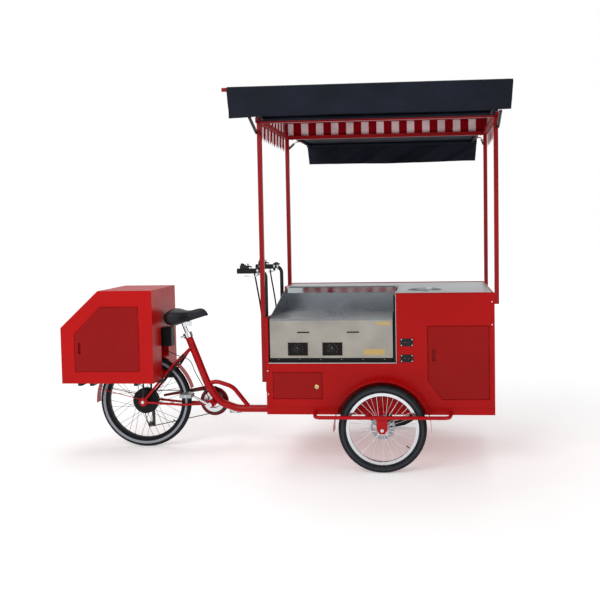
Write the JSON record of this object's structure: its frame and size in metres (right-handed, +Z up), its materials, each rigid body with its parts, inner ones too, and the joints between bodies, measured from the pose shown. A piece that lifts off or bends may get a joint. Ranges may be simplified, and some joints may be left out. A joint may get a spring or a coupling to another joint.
{
  "type": "vending tricycle",
  "caption": "Front-loading cargo tricycle with a griddle cabinet, striped canopy with lifting shade flaps, steering handlebar, pedal drive and a lockable box over the rear wheel.",
  "frame": {"origin": "on the floor under the middle of the whole tricycle's box", "axes": "+X towards the cart's front, +Y to the rider's left, +Z up"},
  "size_m": [2.755, 2.285, 2.224],
  "materials": {
    "red_paint": "gloss powder coat",
    "door_paint": "gloss powder coat, a shade darker",
    "frame_paint": "gloss enamel",
    "post_paint": "satin powder coat",
    "guard_paint": "gloss enamel",
    "stainless": "brushed",
    "chrome": "bright",
    "alloy": "polished",
    "black_rim": "satin",
    "tyre": "matte",
    "black_plastic": "matte",
    "black_tube": "gloss",
    "rubber": "matte",
    "saddle_cover": "satin",
    "striped_cloth": "woven, red and white stripes",
    "black_cloth": "woven, coated",
    "dark_steel": "oiled"
  },
  "bodies": {
    "rear_frame": {"main_frame": "frame_paint", "rear_stays": "frame_paint", "seat_post": "chrome", "saddle": "saddle_cover", "rear_mudguard": "frame_paint", "box_rack": "frame_paint", "rear_box": "red_paint", "motor_controller": "black_plastic", "chain_guard": "guard_paint", "chain": "dark_steel", "derailleur": "dark_steel", "rear_axle": "chrome", "motor_cable": "rubber"},
    "cart": {"chassis": "frame_paint", "wheel_guards": "frame_paint", "front_mudguards": "frame_paint", "front_axles": "chrome", "side_panel_right": "red_paint", "side_panel_left": "red_paint", "front_panel": "red_paint", "rear_panel": "red_paint", "cabinet_inner": "red_paint", "griddle_shelf": "stainless", "worktop": "stainless", "sink": "stainless", "socket_plates": "black_plastic", "griddle_body": "stainless", "griddle_plate": "stainless", "handlebar": "black_tube", "grips": "rubber", "canopy_posts": "post_paint", "canopy_frame": "post_paint", "canopy_cloth": "striped_cloth", "control_cables": "rubber"},
    "front_wheel_right": {"front_wheel_right": "alloy", "front_tyre_right": "tyre", "brake_disc_right": "chrome"},
    "front_wheel_left": {"front_wheel_left": "alloy", "front_tyre_left": "tyre", "brake_disc_left": "chrome"},
    "rear_wheel": {"rear_rim": "black_rim", "rear_tyre": "tyre", "hub_motor": "black_rim"},
    "crankset": {"crankset": "alloy"},
    "pedal_right": {"pedal_right": "black_plastic"},
    "pedal_left": {"pedal_left": "black_plastic"},
    "storage_door": {"storage_door": "door_paint"},
    "small_door": {"small_door": "door_paint"},
    "box_door_right": {"rear_box_door_right": "door_paint"},
    "box_door_left": {"rear_box_door_left": "door_paint"},
    "flap_right": {"flap_frame_right": "post_paint", "flap_cloth_right": "black_cloth"},
    "valence_right": {"flap_valence_right": "black_cloth"},
    "strut_cylinders_right": {"strut_cylinders_right": "black_tube"},
    "strut_rods_right": {"strut_rods_right": "chrome"},
    "flap_left": {"flap_frame_left": "post_paint", "flap_cloth_left": "black_cloth"},
    "valence_left": {"flap_valence_left": "black_cloth"},
    "strut_cylinders_left": {"strut_cylinders_left": "black_tube"},
    "strut_rods_left": {"strut_rods_left": "chrome"}
  },
  "joints": [
    {"name": "steering", "type": "hinge", "parent": "rear_frame", "child": "cart", "pos_m": [0.5555, 0, 0.26], "axis": [0, 0, 1], "range_deg": [-30, 30]},
    {"name": "front_wheel_right_spin", "type": "hinge", "parent": "cart", "child": "front_wheel_right", "pos_m": [0.6755, -0.54, 0.257], "axis": [0, 1, 0], "continuous": true},
    {"name": "front_wheel_left_spin", "type": "hinge", "parent": "cart", "child": "front_wheel_left", "pos_m": [0.6755, 0.54, 0.257], "axis": [0, 1, 0], "continuous": true},
    {"name": "rear_wheel_spin", "type": "hinge", "parent": "rear_frame", "child": "rear_wheel", "pos_m": [-0.9175, 0, 0.305], "axis": [0, 1, 0], "continuous": true},
    {"name": "crank_spin", "type": "hinge", "parent": "rear_frame", "child": "crankset", "pos_m": [-0.4745, 0, 0.288], "axis": [0, 1, 0], "continuous": true},
    {"name": "pedal_right_spin", "type": "hinge", "parent": "crankset", "child": "pedal_right", "pos_m": [-0.60744, -0.118, 0.36169], "axis": [0, 1, 0], "continuous": true},
    {"name": "pedal_left_spin", "type": "hinge", "parent": "crankset", "child": "pedal_left", "pos_m": [-0.34156, 0.118, 0.21431], "axis": [0, 1, 0], "continuous": true},
    {"name": "storage_door_hinge", "type": "hinge", "parent": "cart", "child": "storage_door", "pos_m": [1.294, -0.48, 0.631], "axis": [0, 0, 1], "range_deg": [0, 100]},
    {"name": "small_door_hinge", "type": "hinge", "parent": "cart", "child": "small_door", "pos_m": [0.028, -0.48, 0.497], "axis": [0, 0, -1], "range_deg": [0, 100]},
    {"name": "box_door_right_hinge", "type": "hinge", "parent": "rear_frame", "child": "box_door_right", "pos_m": [-0.871, -0.2405, 0.74], "axis": [0, 0, 1], "range_deg": [0, 100]},
    {"name": "box_door_left_hinge", "type": "hinge", "parent": "rear_frame", "child": "box_door_left", "pos_m": [-0.871, 0.2405, 0.74], "axis": [0, 0, -1], "range_deg": [0, 100]},
    {"name": "flap_right_hinge", "type": "hinge", "parent": "cart", "child": "flap_right", "pos_m": [0.6575, -0.5055, 2.056], "axis": [1, 0, 0], "range_deg": [0, 95]},
    {"name": "valence_right_hang", "type": "hinge", "parent": "flap_right", "child": "valence_right", "pos_m": [0.6575, -1.1175, 2.12843], "axis": [1, 0, 0], "range_deg": [-95, 0]},
    {"name": "strut_right_swing", "type": "hinge", "parent": "cart", "child": "strut_cylinders_right", "pos_m": [0.6575, -0.5, 1.981], "axis": [1, 0, 0], "range_deg": [0, 106.29]},
    {"name": "strut_right_slide", "type": "slide", "parent": "strut_cylinders_right", "child": "strut_rods_right", "axis": [0, -0.9399, 0.3415], "range_m": [-0.0978, 0]},
    {"name": "flap_left_hinge", "type": "hinge", "parent": "cart", "child": "flap_left", "pos_m": [0.6575, 0.5055, 2.056], "axis": [-1, 0, 0], "range_deg": [0, 90]},
    {"name": "valence_left_hang", "type": "hinge", "parent": "flap_left", "child": "valence_left", "pos_m": [0.6575, 1.1175, 2.056], "axis": [-1, 0, 0], "range_deg": [-90, 0]},
    {"name": "strut_left_swing", "type": "hinge", "parent": "cart", "child": "strut_cylinders_left", "pos_m": [0.6575, 0.5, 1.981], "axis": [-1, 0, 0], "range_deg": [0, 102.44]},
    {"name": "strut_left_slide", "type": "slide", "parent": "strut_cylinders_left", "child": "strut_rods_left", "axis": [0, 0.9712, 0.2384], "range_m": [-0.0898, 0]}
  ],
  "couplings": [
    {"joint": "valence_right_hang", "follows": "flap_right_hinge", "ratio": -1},
    {"joint": "strut_right_swing", "follows": "flap_right_hinge", "ratio": 1.1183},
    {"joint": "strut_right_slide", "follows": "flap_right_hinge", "m_per_rad": -0.058801},
    {"joint": "valence_left_hang", "follows": "flap_left_hinge", "ratio": -1},
    {"joint": "strut_left_swing", "follows": "flap_left_hinge", "ratio": 1.1377},
    {"joint": "strut_left_slide", "follows": "flap_left_hinge", "m_per_rad": -0.05698}
  ]
}
